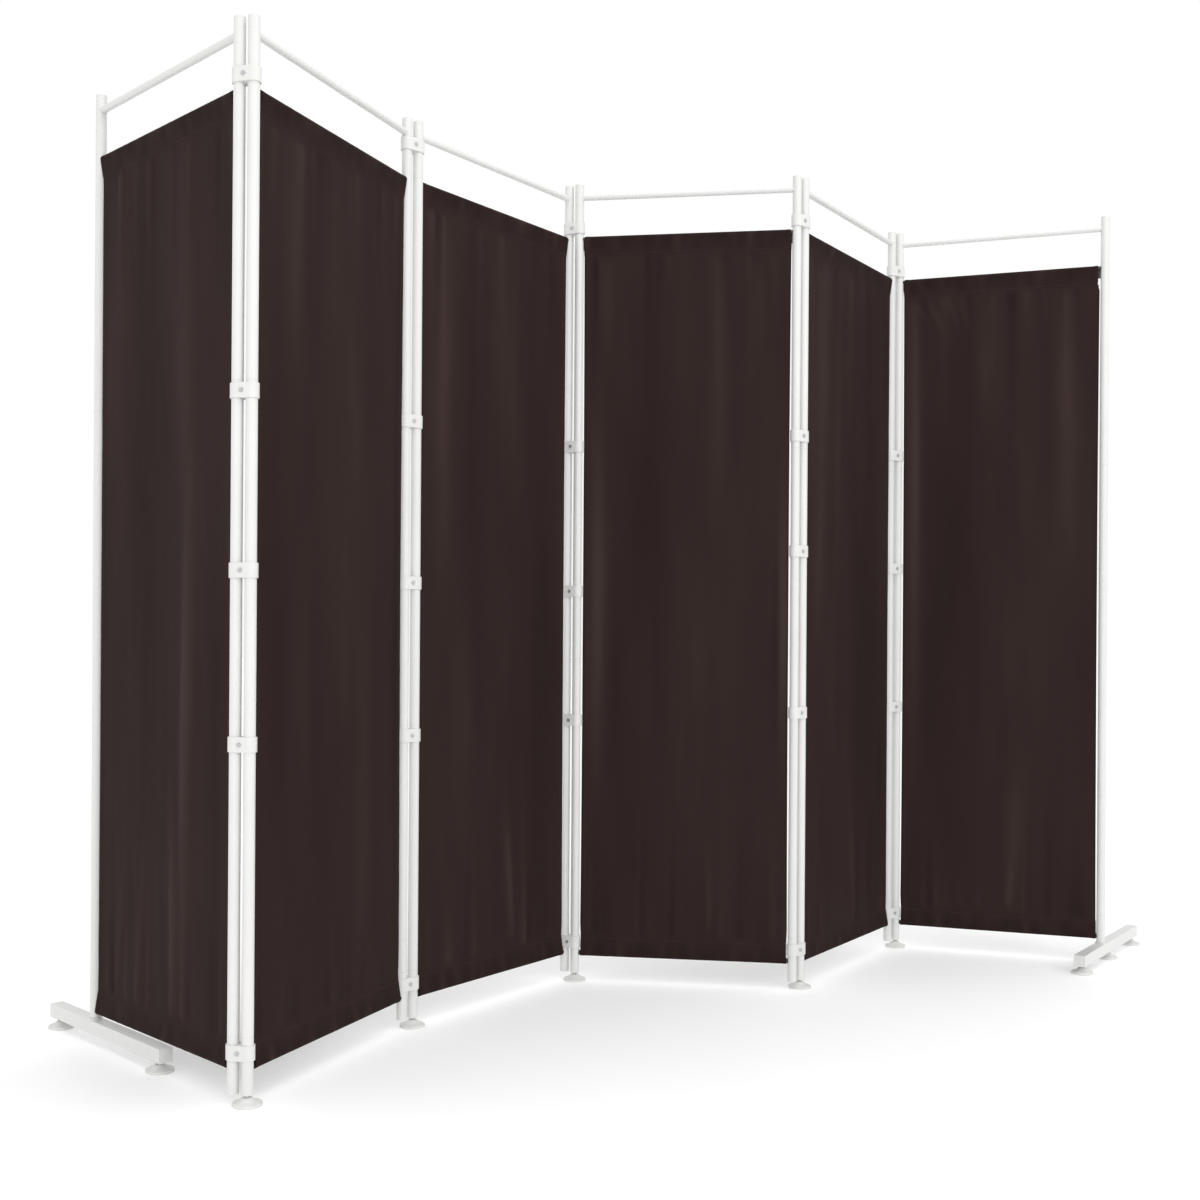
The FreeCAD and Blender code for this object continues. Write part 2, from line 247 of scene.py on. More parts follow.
def make_zinc_plating():
    """Zinc-plated steel: dull grey metal with cloudy gloss."""
    material, tree, surface = new_material("zinc_plated_steel")
    place = add(tree, "ShaderNodeTexCoord").outputs["Object"]
    cloud = add(
        tree, "ShaderNodeTexNoise", {"Vector": place, "Scale": 1 / ZINC_CLOUD, "Detail": 4.0}
    )
    tint = add(tree, "ShaderNodeValToRGB", {"Fac": cloud.outputs["Fac"]})
    tint.color_ramp.elements[0].color = linear("#b0b1b3")
    tint.color_ramp.elements[1].color = linear("#cdcecf")
    gloss = add(
        tree, "ShaderNodeMapRange", {"Value": cloud.outputs["Fac"], "To Min": 0.42, "To Max": 0.62}
    )
    shader = add(
        tree,
        "ShaderNodeBsdfPrincipled",
        {
            "Base Color": tint.outputs["Color"],
            "Roughness": gloss.outputs["Result"],
            "Metallic": 1.0,
        },
    )
    tree.links.new(shader.outputs["BSDF"], surface)
    return material


zinc_plating = make_zinc_plating()
print("made", zinc_plating.name)

# %% [markdown]
# ## Brown woven polyester
# The cloth is plain-woven polyester, dyed dark brown. Up close warp and weft cross in a fine
# grid. From a step away the eye sees a soft matt surface with a low sheen and faint upright
# streaks, because some warp threads took the dye differently. The threads are about 0.5 mm
# apart, too fine to show here, so the weave is drawn at 1.5 mm. The pattern reads the cloth's
# own UV map, which is in metres along the flat cut, so it runs true round the hems and folds.
# A number called crest, stored on the cloth's points further down, paints light and shade:
# a painted highlight on a forward fold, painted shade on a fold set back and on a hem's front.

# %% Woven cloth material
THREAD_PITCH = 1.5 * MM
THREAD_RELIEF = 0.25 * MM
STREAK_WIDTH = 60.0 * MM
STREAK_LENGTH = 420.0 * MM
SLUB_WIDTH = 3.0 * MM
SLUB_LENGTH = 120.0 * MM
BASE_SHADE = 0.24
STREAK_SHADE = 0.26
SLUB_SHADE = 0.05
WEAVE_SHADE = 0.25
PAINTED_LIGHT_AND_SHADE_WEIGHT = 0.26
DEEP_AT, MID_AT, PALE_AT = 0.25, 0.5, 0.75


def make_cloth_material(name, deep, mid, pale):
    """Woven polyester: matt dark threads, low sheen, faint upright streaks."""
    material, tree, surface = new_material(name)
    place = add(tree, "ShaderNodeUVMap", uv_map="flat_cut").outputs["UV"]

    def wave(direction):
        return add(
            tree,
            "ShaderNodeTexWave",
            {
                "Vector": place,
                "Scale": band_scale(THREAD_PITCH),
                "Distortion": 0.6,
                "Detail": 1.0,
            },
            wave_type="BANDS",
            bands_direction=direction,
            wave_profile="SIN",
        ).outputs["Fac"]

    weave = add(tree, "ShaderNodeMath", {0: wave("X"), 1: wave("Y")}, operation="MULTIPLY")

    def streaks(width, length, detail):
        stretched = add(
            tree,
            "ShaderNodeMapping",
            {"Vector": place, "Scale": (1 / width, 1 / length, 1.0)},
        )
        return add(
            tree,
            "ShaderNodeTexNoise",
            {"Vector": stretched.outputs["Vector"], "Scale": 1.0, "Detail": detail},
        ).outputs["Fac"]

    wide = streaks(STREAK_WIDTH, STREAK_LENGTH, 2.0)
    slub = streaks(SLUB_WIDTH, SLUB_LENGTH, 2.0)
    # crest is painted light and shade: paler on forward folds, darker on back folds and hem fronts.
    crest = add(tree, "ShaderNodeAttribute", attribute_name="crest").outputs["Fac"]
    shade = add(
        tree, "ShaderNodeMath", {0: wide, 1: STREAK_SHADE, 2: BASE_SHADE}, operation="MULTIPLY_ADD"
    )
    for tone, weight in ((slub, SLUB_SHADE), (weave.outputs[0], WEAVE_SHADE), (crest, PAINTED_LIGHT_AND_SHADE_WEIGHT)):
        shade = add(
            tree,
            "ShaderNodeMath",
            {0: tone, 1: weight, 2: shade.outputs[0]},
            operation="MULTIPLY_ADD",
        )
    tint = add(tree, "ShaderNodeValToRGB", {"Fac": shade.outputs[0]})
    tint.color_ramp.elements[0].position = DEEP_AT
    tint.color_ramp.elements[0].color = linear(deep)
    tint.color_ramp.elements[1].position = PALE_AT
    tint.color_ramp.elements[1].color = linear(pale)
    tint.color_ramp.elements.new(MID_AT).color = linear(mid)
    rough = add(tree, "ShaderNodeMapRange", {"Value": slub, "To Min": 0.62, "To Max": 0.78})
    relief = add(
        tree,
        "ShaderNodeBump",
        {"Height": weave.outputs[0], "Strength": 0.35, "Distance": THREAD_RELIEF},
    )
    shader = add(
        tree,
        "ShaderNodeBsdfPrincipled",
        {
            "Base Color": tint.outputs["Color"],
            "Roughness": rough.outputs["Result"],
            "Normal": relief.outputs["Normal"],
            "Specular IOR Level": 0.04,
            "Sheen Weight": 0.04,
            "Sheen Roughness": 0.45,
            "Sheen Tint": linear("#8b7470"),
        },
    )
    tree.links.new(shader.outputs["BSDF"], surface)
    return material


brown_cloth = make_cloth_material("brown_polyester_woven", "#251b1a", "#2d2220", "#3b2f2d")
print("made", brown_cloth.name)

# %% [markdown]
# ## Sewing thread
# The hems are sewn with a polyester thread close to the cloth's own shade. Each stitch is a
# short twisted strand, so a fine slanted wave gives it a little relief.

# %% Thread material
TWIST_PITCH = 0.8 * MM
TWIST_RELIEF = 0.1 * MM


def make_thread():
    """Spun polyester thread: matt, slightly paler than the cloth, with its twist."""
    material, tree, surface = new_material("brown_sewing_thread")
    place = add(tree, "ShaderNodeTexCoord").outputs["Object"]
    twist = add(
        tree,
        "ShaderNodeTexWave",
        {"Vector": place, "Scale": band_scale(TWIST_PITCH), "Distortion": 1.0},
        wave_type="BANDS",
        bands_direction="DIAGONAL",
    )
    tint = add(tree, "ShaderNodeValToRGB", {"Fac": twist.outputs["Fac"]})
    tint.color_ramp.elements[0].color = linear("#2a1f1e")
    tint.color_ramp.elements[1].color = linear("#403331")
    relief = add(
        tree,
        "ShaderNodeBump",
        {"Height": twist.outputs["Fac"], "Strength": 0.3, "Distance": TWIST_RELIEF},
    )
    shader = add(
        tree,
        "ShaderNodeBsdfPrincipled",
        {
            "Base Color": tint.outputs["Color"],
            "Normal": relief.outputs["Normal"],
            "Roughness": 0.7,
            "Specular IOR Level": 0.3,
        },
    )
    tree.links.new(shader.outputs["BSDF"], surface)
    return material


sewing_thread = make_thread()
print("made", sewing_thread.name)

# %% [markdown]
# ## Finishes on the CAD pieces
# Tubes, caps, clips, screws and rods are already true to the object, so they only swap their
# plain colour for a finish. The node's name says what it is made of.

# %% Give the CAD pieces their finishes
FINISHES = {
    "_left_post": powder_coat,
    "_right_post": powder_coat,
    "_top_rail": powder_coat,
    "_foot_bar": powder_coat,
    "_post_caps": white_moulding,
    "_clip_halves": white_moulding,
    "_foot_bar_caps": white_moulding,
    "_hem_rods": black_moulding,
    "_clip_screws": zinc_plating,
}
finished = 0
for node_name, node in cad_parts.items():
    for ending, finish in FINISHES.items():
        if node_name.endswith(ending):
            for material_slot in node.material_slots:
                material_slot.material = finish
            finished += 1
print("finished CAD nodes", finished)

# %% [markdown]
# ## Where each panel stands
# Every soft piece hangs between two posts. A post's box gives its axis, and the two axes give
# the panel's own directions: along its width, and back through the cloth.

# %% Panel directions from the posts


def axis_of(node_name):
    """Middle of an upright node in plan."""
    low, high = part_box(node_name)
    return Vector(((low.x + high.x) / 2, (low.y + high.y) / 2, 0.0))


class Panel:
    """One panel's number, post axes, width and directions."""

    def __init__(self, number):
        self.number = number
        self.body = f"panel_{number}"
        self.left = axis_of(f"panel_{number}_left_post")
        self.right = axis_of(f"panel_{number}_right_post")
        self.width = (self.right - self.left).length
        self.along = (self.right - self.left) / self.width
        self.back = Vector((-self.along.y, self.along.x, 0.0))

    def at(self, across, deep, height):
        """A point of the panel: along its width, back through it, and up."""
        return self.left + self.along * across + self.back * deep + Vector((0, 0, height))


panels = [Panel(number) for number in range(1, PANEL_COUNT + 1)]
print("panel widths in mm", [round(panel.width / MM, 1) for panel in panels])

# %% [markdown]
# ## The cloths
# On the real screen each cloth is one strip of fabric. Its ends fold back over an upper and a
# lower rod and are sewn down, and its sides have a narrow turned hem. A cloth simulation could
# hang it, but the folds here are only a few millimetres deep, and their places matter. So the
# strip is laid out row by row along its own path: up the back flap, over the rod, down the
# front, round the lower rod and up again. Soft ridges then push it in and out. Solidify gives
# it thickness, doubled at the side hems.

# %% Path of a cloth strip over its two rods
POST_RADIUS = 9.5 * MM
SLEEVE_RADIUS = 6.0 * MM
SLEEVE_OUTSIDE = 6.6 * MM
HEM_DEPTH = 43.0 * MM
FLAP_GAP = 0.9 * MM
FLAP_TAIL = 4.0 * MM
HEM_ROWS = 9
ARC_ROWS = 12
HANGING_ROWS = 110


def hem_side(seam, rod, gap_at_seam, side):
    """Rows between a seam and a rod, on the front (-1) or the back (1) of the hem."""
    rows = []
    for step in range(HEM_ROWS):
        share = step / HEM_ROWS
        deep = gap_at_seam + (side * SLEEVE_RADIUS - gap_at_seam) * share
        rows.append((deep, seam + (rod - seam) * share))
    return rows


def strip_path(bottom, top):
    """(depth, height) of each row of the strip, from the upper flap's tail to the lower flap's."""
    upper, lower = top - SLEEVE_OUTSIDE, bottom + SLEEVE_OUTSIDE
    high_seam, low_seam = top - HEM_DEPTH, bottom + HEM_DEPTH
    rows = [(FLAP_GAP, high_seam - FLAP_TAIL)]
    rows += hem_side(high_seam, upper, FLAP_GAP, 1)
    for step in range(ARC_ROWS + 1):
        turn = math.pi * step / ARC_ROWS
        rows.append((SLEEVE_RADIUS * math.cos(turn), upper + SLEEVE_RADIUS * math.sin(turn)))
    rows += reversed(hem_side(high_seam, upper, 0.0, -1))
    for step in range(1, HANGING_ROWS):
        rows.append((0.0, high_seam + (low_seam - high_seam) * step / HANGING_ROWS))
    rows += hem_side(low_seam, lower, 0.0, -1)
    for step in range(ARC_ROWS + 1):
        turn = math.pi * (1 + step / ARC_ROWS)
        rows.append((SLEEVE_RADIUS * math.cos(turn), lower + SLEEVE_RADIUS * math.sin(turn)))
    rows += reversed(hem_side(low_seam, lower, FLAP_GAP, 1))
    rows.append((FLAP_GAP, low_seam + FLAP_TAIL))
    return rows


cloth_low, cloth_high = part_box("panel_1_cloth")
CLOTH_BOTTOM, CLOTH_TOP = cloth_low.z, cloth_high.z
path = strip_path(CLOTH_BOTTOM, CLOTH_TOP)
lengths = [0.0]
for (deep_a, high_a), (deep_b, high_b) in zip(path, path[1:]):
    lengths.append(lengths[-1] + math.hypot(deep_b - deep_a, high_b - high_a))
CUT_LENGTH = lengths[-1]
print("rows", len(path), "cut length in mm", round(CUT_LENGTH / MM))

# %% [markdown]
# ## Folds
# Hung between two rods, a cloth keeps a few soft upright folds, none of them as tall as the
# cloth, short puckers at the sewn hems, and slanting pulls from a corner. Each is a soft ridge
# with its own place, size and depth. A fold that stands forward catches the light. The folds
# are placed to follow the photograph, and the puckers are drawn from a seeded
# generator, so that each run gives the same cloth.

# %% Fold shapes
# Middle of the fold as shares across and up the cloth, half width, half length and depth in mm
# (negative stands forward), and its lean, the sideways run for each unit of height.
Fold = namedtuple("Fold", "across up half_width half_length depth lean")
FOLDS = (
    (
        Fold(0.68, 0.38, 18, 330, -6.0, 0.02),
        Fold(0.60, 0.13, 14, 170, -4.0, -0.03),
        Fold(0.66, 0.78, 45, 300, -2.6, 0.0),
        Fold(0.14, 0.77, 30, 200, -2.4, 0.0),
        Fold(0.40, 0.55, 60, 500, 2.6, 0.0),
        Fold(0.20, 0.10, 10, 110, -2.2, 0.12),
        Fold(0.36, 0.11, 11, 120, -2.4, 0.08),
        Fold(0.88, 0.30, 26, 420, 2.0, 0.0),
    ),
    (
        Fold(0.24, 0.86, 20, 170, -2.4, 0.0),
        Fold(0.58, 0.60, 55, 380, -2.2, 0.0),
        Fold(0.94, 0.50, 16, 480, 3.2, 0.0),
        Fold(0.14, 0.45, 40, 420, 1.8, 0.0),
        Fold(0.70, 0.25, 26, 260, -2.0, -0.02),
        Fold(0.44, 0.22, 40, 300, 1.6, 0.0),
    ),
    (
        Fold(0.15, 0.75, 24, 280, -4.4, 0.0),
        Fold(0.57, 0.80, 30, 240, -2.0, 0.0),
        Fold(0.36, 0.60, 45, 420, 1.8, 0.0),
        Fold(0.82, 0.42, 50, 480, 2.6, 0.0),
        Fold(0.60, 0.11, 11, 130, -5.0, -0.06),
        Fold(0.28, 0.30, 50, 300, -1.6, 0.0),
    ),
    (
        Fold(0.085, 0.50, 20, 330, -7.0, 0.0),
        Fold(0.945, 0.45, 11, 240, -7.0, 0.0),
        Fold(0.65, 0.85, 17, 230, -3.2, 0.0),
        Fold(0.82, 0.92, 12, 110, -2.4, 0.0),
        Fold(0.12, 0.91, 14, 110, -2.2, 0.0),
        Fold(0.32, 0.62, 55, 300, 2.2, 0.0),
        Fold(0.56, 0.40, 80, 400, -1.6, 0.0),
        Fold(0.62, 0.07, 9, 100, -3.2, -0.04),
    ),
    (
        Fold(0.16, 0.83, 60, 330, -3.0, 0.0),
        Fold(0.36, 0.74, 16, 280, -2.6, 0.0),
        Fold(0.16, 0.56, 26, 240, -2.4, 0.0),
        Fold(0.70, 0.42, 70, 420, 2.8, 0.0),
        Fold(0.55, 0.11, 16, 150, -3.0, -0.10),
        Fold(0.88, 0.20, 18, 200, 2.4, 0.0),
    ),
    (
        Fold(0.075, 0.68, 18, 520, -7.0, 0.0),
        Fold(0.82, 0.79, 24, 340, -3.6, 0.0),
        Fold(0.42, 0.87, 15, 110, -2.6, 0.0),
        Fold(0.25, 0.55, 60, 420, 2.4, 0.0),
        Fold(0.58, 0.15, 22, 200, -2.8, 0.06),
        Fold(0.56, 0.06, 9, 80, -3.0, 0.08),
        Fold(0.62, 0.45, 60, 300, -1.4, 0.0),
        Fold(0.095, 0.954, 7, 42, -2.2, -0.50),
        Fold(0.165, 0.950, 8, 50, -2.6, -0.45),
        Fold(0.255, 0.951, 8, 44, -2.0, -0.38),
        Fold(0.32, 0.946, 9, 58, -2.2, -0.30),
    ),
)
FOLD_EASE = 30.0 * MM
PUCKER_COUNT = 12
PUCKER_SEED = 40
PUCKER_PLACE_SHARES = (0.03, 0.97)
PUCKER_DEPTH_MM = (1.4, 3.2)
PUCKER_HALF_WIDTH_MM = (6.0, 11.0)
PUCKER_REACH_MM = (50.0, 160.0)
PUCKER_EASE = 12.0 * MM


def smooth(share):
    """Eases from 0 to 1 with level ends."""
    share = min(max(share, 0.0), 1.0)
    return share * share * (3 - 2 * share)


def ridge(offset, half_width):
    """A soft ridge, 1 at its crest."""
    return math.exp(-((offset / half_width) ** 2))


def make_folds(panel):
    """A function of (distance across, height) that gives the cloth's depth in metres."""
    draw = random.Random(PUCKER_SEED + panel.number)
    high_seam, low_seam = CLOTH_TOP - HEM_DEPTH, CLOTH_BOTTOM + HEM_DEPTH
    puckers = []
    for seam in (high_seam, low_seam):
        for _ in range(PUCKER_COUNT):
            place = draw.uniform(*PUCKER_PLACE_SHARES) * panel.width
            deep = draw.choice((-1, 1)) * draw.uniform(*PUCKER_DEPTH_MM) * MM
            half = draw.uniform(*PUCKER_HALF_WIDTH_MM) * MM
            puckers.append((seam, place, half, deep, draw.uniform(*PUCKER_REACH_MM) * MM))

    def depth(across, height):
        if height > high_seam or height < low_seam:
            return 0.0
        total = 0.0
        for fold in FOLDS[panel.number - 1]:
            rise = height - CLOTH_BOTTOM - fold.up * (CLOTH_TOP - CLOTH_BOTTOM)
            aside = across - fold.across * panel.width - fold.lean * rise
            along = ridge(rise, fold.half_length * MM)
            total += fold.depth * MM * along * ridge(aside, fold.half_width * MM)
        total *= smooth((high_seam - height) / FOLD_EASE) * smooth((height - low_seam) / FOLD_EASE)
        for seam, place, half, deep, reach in puckers:
            drop = abs(height - seam)
            fading = smooth(drop / PUCKER_EASE) * math.exp(-drop / reach)
            total += deep * fading * ridge(across - place, half)
        return total

    return depth


print("folds", [len(folds) for folds in FOLDS])

# %% [markdown]
# ## Cutting and hanging the cloths
# The hems reach almost to the posts. Between the hems the sides are drawn in a little, and
# more at each hinge clip, whose ring turns round the post there. Columns stand closer together
# at the side hems, where the cloth is double. One fixed noise adds shallow wrinkles all over,
# and a second mottles a painted shade on the front of the hems, like upright crinkles. Each
# point also keeps its crest, the painted light and shade that the cloth's material reads:
# lighter where a fold stands forward, darker where it falls back and on the hems' front.

# %% Build the six cloths
HEM_EDGE = POST_RADIUS + 1.1 * MM
SIDE_EDGE = POST_RADIUS + 1.3 * MM
CLIP_EDGE = 12.9 * MM
CLIP_REACH = 26.0 * MM
SIDE_DRAW = 2.2 * MM
LAST_HEM_SHORT = 4.2 * MM
SIDE_HEM = 9.0 * MM
COLUMN_PITCH = 4.4 * MM
CLOTH_THICKNESS = 0.7 * MM
SIDE_DRAW_POWER = 0.6
CLIP_EASE = 1.6
CLIP_GAP = 40.0 * MM
SIDE_COLUMN_SHARES = (0.0, 0.5, 0.93, 1.07)
ONE_LAYER, TWO_LAYERS = 0.5, 1.0
WRINKLE_DEPTH = 0.35 * MM
WRINKLES_PER_METRE = (70, 18)
WRINKLE_SHIFT = 7.0
# The next five numbers paint light and shade: a mottle on the hems' front and tone on the folds.
PAINTED_CRINKLES_PER_METRE = (45, 14)
PAINTED_CRINKLE_SHIFT = 3.0
PAINTED_CRINKLE_STRENGTH = 3.0
FULL_PAINTED_LIGHT_DEPTH = 5.0 * MM
PAINTED_HEM_SHADE = -0.55


def clip_spans(panel, side):
    """Heights of the clips' middles on the panel's left (0) or right (1) post."""
    hinge = panel.number - 1 if side == 0 else panel.number
    if not 1 <= hinge < PANEL_COUNT:
        return []
    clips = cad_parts[f"hinge_{hinge}_clip_halves"].data
    heights = sorted({round(vertex.co.z, 4) for vertex in clips.vertices})
    spans, start = [], heights[0]
    for low, high in zip(heights, heights[1:] + [heights[-1] + 1]):
        if high - low > CLIP_GAP:
            spans.append((start + low) / 2)
            start = high
    return spans


def edge_distance(height, clips):
    """How far the cloth's side stays from the post's axis at this height."""
    if height > CLOTH_TOP - HEM_DEPTH or height < CLOTH_BOTTOM + HEM_DEPTH:
        edge = HEM_EDGE
    else:
        share = (height - CLOTH_BOTTOM) / (CLOTH_TOP - CLOTH_BOTTOM)
        edge = SIDE_EDGE + SIDE_DRAW * math.sin(math.pi * share) ** SIDE_DRAW_POWER
    for middle in clips:
        near = smooth(CLIP_EASE - abs(height - middle) / CLIP_REACH)
        edge = max(edge, SIDE_EDGE + (CLIP_EDGE - SIDE_EDGE) * near)
    return edge


def column_shares(width):
    """Shares across the cloth, closer together at the side hems."""
    edge = [SIDE_HEM * share for share in SIDE_COLUMN_SHARES]
    inner = int((width - 2 * edge[-1]) / COLUMN_PITCH)
    step = (width - 2 * edge[-1]) / inner
    middle = [edge[-1] + step * i for i in range(1, inner)]
    places = edge + middle + [width - place for place in reversed(edge)]
    return [place / width for place in places]


def fixed_noise(across, height, per_metre, shift):
    """Noise over a cloth with so many waves across and up each metre."""
    return noise.noise(Vector((across * per_metre[0], height * per_metre[1], shift)))


def make_cloth(panel):
    """One cloth's mesh piece and the grid of its points."""
    folds = make_folds(panel)
    clips = clip_spans(panel, 0), clip_spans(panel, 1)
    width = panel.width - 2 * SIDE_EDGE
    shares = column_shares(width)
    grid, painted_light_and_shade = [], []
    for deep, height in path:
        left = edge_distance(height, clips[0])
        right = panel.width - edge_distance(height, clips[1])
        in_top_hem = height > CLOTH_TOP - HEM_DEPTH - FLAP_TAIL
        if panel.number == PANEL_COUNT and in_top_hem:
            right -= LAST_HEM_SHORT
        row = []
        for share in shares:
            across = left + (right - left) * share
            fold = folds(across, height)
            wrinkle = WRINKLE_DEPTH * fixed_noise(
                across, height, WRINKLES_PER_METRE, panel.number * WRINKLE_SHIFT
            )
            row.append(panel.at(across, deep + fold + wrinkle, height))
            # A fixed noise mottles the painted shade on the hem's front; crest paints forward folds
            # paler, back folds darker.
            painted_crinkle_shade = fixed_noise(
                across, height, PAINTED_CRINKLES_PER_METRE, panel.number * PAINTED_CRINKLE_SHIFT
            )
            hem = PAINTED_HEM_SHADE * min(-deep / SLEEVE_RADIUS, 1.0) * (1.0 - PAINTED_CRINKLE_STRENGTH * painted_crinkle_shade)
            painted_light_and_shade.append(hem if deep < 0 else -fold / FULL_PAINTED_LIGHT_DEPTH)
        grid.append(row)
    rows, columns = len(grid), len(shares)
    faces = [
        (r * columns + c, (r + 1) * columns + c, (r + 1) * columns + c + 1, r * columns + c + 1)
        for r in range(rows - 1)
        for c in range(columns - 1)
    ]
    mesh = bpy.data.meshes.new(f"panel_{panel.number}_sewn_cloth")
    mesh.from_pydata([point for row in grid for point in row], [], faces)
    mesh.attributes.new("crest", "FLOAT", "POINT").data.foreach_set("value", painted_light_and_shade)
    flat_cut = mesh.uv_layers.new(name="flat_cut")
    for loop in mesh.loops:
        r, c = divmod(loop.vertex_index, columns)
        flat_cut.data[loop.index].uv = (shares[c] * width, CUT_LENGTH - lengths[r])
    piece = show(f"panel_{panel.number}_sewn_cloth", mesh, brown_cloth)
    layers = piece.vertex_groups.new(name="layers")
    for c, share in enumerate(shares):
        double = min(share, 1 - share) * width < SIDE_HEM
        column = [r * columns + c for r in range(rows)]
        layers.add(column, TWO_LAYERS if double else ONE_LAYER, "REPLACE")
    thick = piece.modifiers.new("cloth thickness", "SOLIDIFY")
    thick.thickness = 2 * CLOTH_THICKNESS
    thick.offset = 0.0
    thick.vertex_group = "layers"
    return piece, grid


cloths = {panel.number: make_cloth(panel) for panel in panels}
print("cloth faces", [len(piece.data.polygons) for piece, _ in cloths.values()])

# %% [markdown]
# ## Stitches
# Each hem is held by a row of lockstitch. A stitch is a small strand lying along the seam, so
# Geometry Nodes lays one on each point of a line read from the cloth itself. The tree turns the
# line into evenly spaced points, puts a thin bead on each, turns it along the line, and makes
# the copies real. Bead and spacing are inputs, so a coarser seam is one number away.

# %% Stitch tree
STITCH_PITCH = 5.0 * MM
STITCH_LENGTH = 3.9 * MM
STITCH_WIDTH = 1.0 * MM
STITCH_LIFT = 0.15 * MM
STITCH_SEGMENTS = 5
STITCH_RINGS = 4


def new_tree(name, sizes):
    """A geometry tree with a geometry input, named size inputs and a geometry output."""
    tree = bpy.data.node_groups.new(name, "GeometryNodeTree")
    tree.interface.new_socket("Geometry", in_out="INPUT", socket_type="NodeSocketGeometry")
    for size in sizes:
        tree.interface.new_socket(size, in_out="INPUT", socket_type="NodeSocketFloat")
    tree.interface.new_socket("Geometry", in_out="OUTPUT", socket_type="NodeSocketGeometry")
    return tree, tree.nodes.new("NodeGroupInput"), tree.nodes.new("NodeGroupOutput")


def finish_tree(tree, geometry, output, material):
    """Ends a tree by making copies real and setting their material."""
    real = add(tree, "GeometryNodeRealizeInstances", {"Geometry": geometry})
    painted = add(
        tree,
        "GeometryNodeSetMaterial",
        {"Geometry": real.outputs["Geometry"], "Material": material},
    )
    tree.links.new(painted.outputs["Geometry"], output.inputs["Geometry"])


def grow(name, tree, source, sizes, material):
    """Runs a tree on a source mesh and returns the result as a plain piece."""
    seed = bpy.data.objects.new(name + "_seed", source)
    bpy.context.scene.collection.objects.link(seed)
    modifier = seed.modifiers.new("grow", "NODES")
    modifier.node_group = tree
    for item in tree.interface.items_tree:
        if item.in_out == "INPUT" and item.name in sizes:
            modifier[item.identifier] = sizes[item.name]
    bpy.context.view_layer.update()
    evaluated = seed.evaluated_get(bpy.context.evaluated_depsgraph_get())
    mesh = bpy.data.meshes.new_from_object(evaluated)
    mesh.name = name
    seed.modifiers.remove(modifier)
    bpy.data.objects.remove(seed)
    mesh.materials.clear()
    return show(name, mesh, material)


def make_stitch_tree():
    """Lays a thin bead along each line of the source at an even pitch."""
    tree, given, output = new_tree("lockstitch_row", ("Pitch", "Stitch Length", "Stitch Width"))
    line = add(tree, "GeometryNodeMeshToCurve", {"Mesh": given.outputs["Geometry"]})
    spots = add(
        tree,
        "GeometryNodeCurveToPoints",
        {"Curve": line.outputs["Curve"], "Length": given.outputs["Pitch"]},
        mode="LENGTH",
    )
    bead = add(
        tree,
        "GeometryNodeMeshUVSphere",
        {"Segments": STITCH_SEGMENTS, "Rings": STITCH_RINGS, "Radius": 0.5},
    )
    shape = add(
        tree,
        "ShaderNodeCombineXYZ",
        {
            "X": given.outputs["Stitch Width"],
            "Y": given.outputs["Stitch Width"],
            "Z": given.outputs["Stitch Length"],
        },
    )
    aim = add(
        tree,
        "FunctionNodeAlignRotationToVector",
        {"Vector": spots.outputs["Tangent"]},
        axis="Z",
    )
    laid = add(
        tree,
        "GeometryNodeInstanceOnPoints",
        {
            "Points": spots.outputs["Points"],
            "Instance": bead.outputs["Mesh"],
            "Rotation": aim.outputs["Rotation"],
            "Scale": shape.outputs["Vector"],
        },
    )
    finish_tree(tree, laid.outputs["Instances"], output, sewing_thread)
    return tree


stitch_tree = make_stitch_tree()
print("stitch tree nodes", len(stitch_tree.nodes))

# %% [markdown]
# The lines follow the cloth's own grid: across it just inside each seam, on the front and on
# the back flap, and up it at the inner edge of each side hem. They are lifted by half the
# cloth's thickness, so that the beads lie on the surface.

# %% Sew the hems
ROW_OF_UPPER_FLAP = 2
ROW_OF_UPPER_FRONT = 1 + HEM_ROWS + ARC_ROWS + 1 + HEM_ROWS - 2
SIDE_SEAM_COLUMN = 2


def seam_lines(panel, grid):
    """Point lists of every stitch row on one cloth."""
    rows, columns = len(grid), len(grid[0])
    lift = CLOTH_THICKNESS / 2 + STITCH_LIFT
    lines = []
    for row, side in (
        (ROW_OF_UPPER_FLAP, 1),
        (ROW_OF_UPPER_FRONT, -1),
        (rows - 1 - ROW_OF_UPPER_FRONT, -1),
        (rows - 1 - ROW_OF_UPPER_FLAP, 1),
    ):
        lines.append([point + panel.back * side * lift for point in grid[row][1:-1]])
    first = ROW_OF_UPPER_FRONT + 2
    hanging = range(first, rows - first)
    doubled = lift + CLOTH_THICKNESS / 2
    for column in (SIDE_SEAM_COLUMN, columns - 1 - SIDE_SEAM_COLUMN):
        for side in (-1, 1):
            lines.append([grid[row][column] + panel.back * side * doubled for row in hanging])
    return lines


def lines_mesh(name, lines, closed=False):
    """A mesh of loose edges along each list of points."""
    points, edges = [], []
    for line in lines:
        start = len(points)
        points += line
        edges += [(start + i, start + i + 1) for i in range(len(line) - 1)]
        if closed:
            edges.append((start + len(line) - 1, start))
    mesh = bpy.data.meshes.new(name)
    mesh.from_pydata(points, edges, [])
    return mesh


stitch_sizes = {
    "Pitch": STITCH_PITCH,
    "Stitch Length": STITCH_LENGTH,
    "Stitch Width": STITCH_WIDTH,
}
for panel in panels:
    cloth, grid = cloths[panel.number]
    source = lines_mesh("seam_lines", seam_lines(panel, grid))
    stitches = grow(
        f"panel_{panel.number}_stitches", stitch_tree, source, stitch_sizes, sewing_thread
    )
    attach(cloth, panel.body)
    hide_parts(f"panel_{panel.number}_cloth")
    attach(stitches, panel.body)

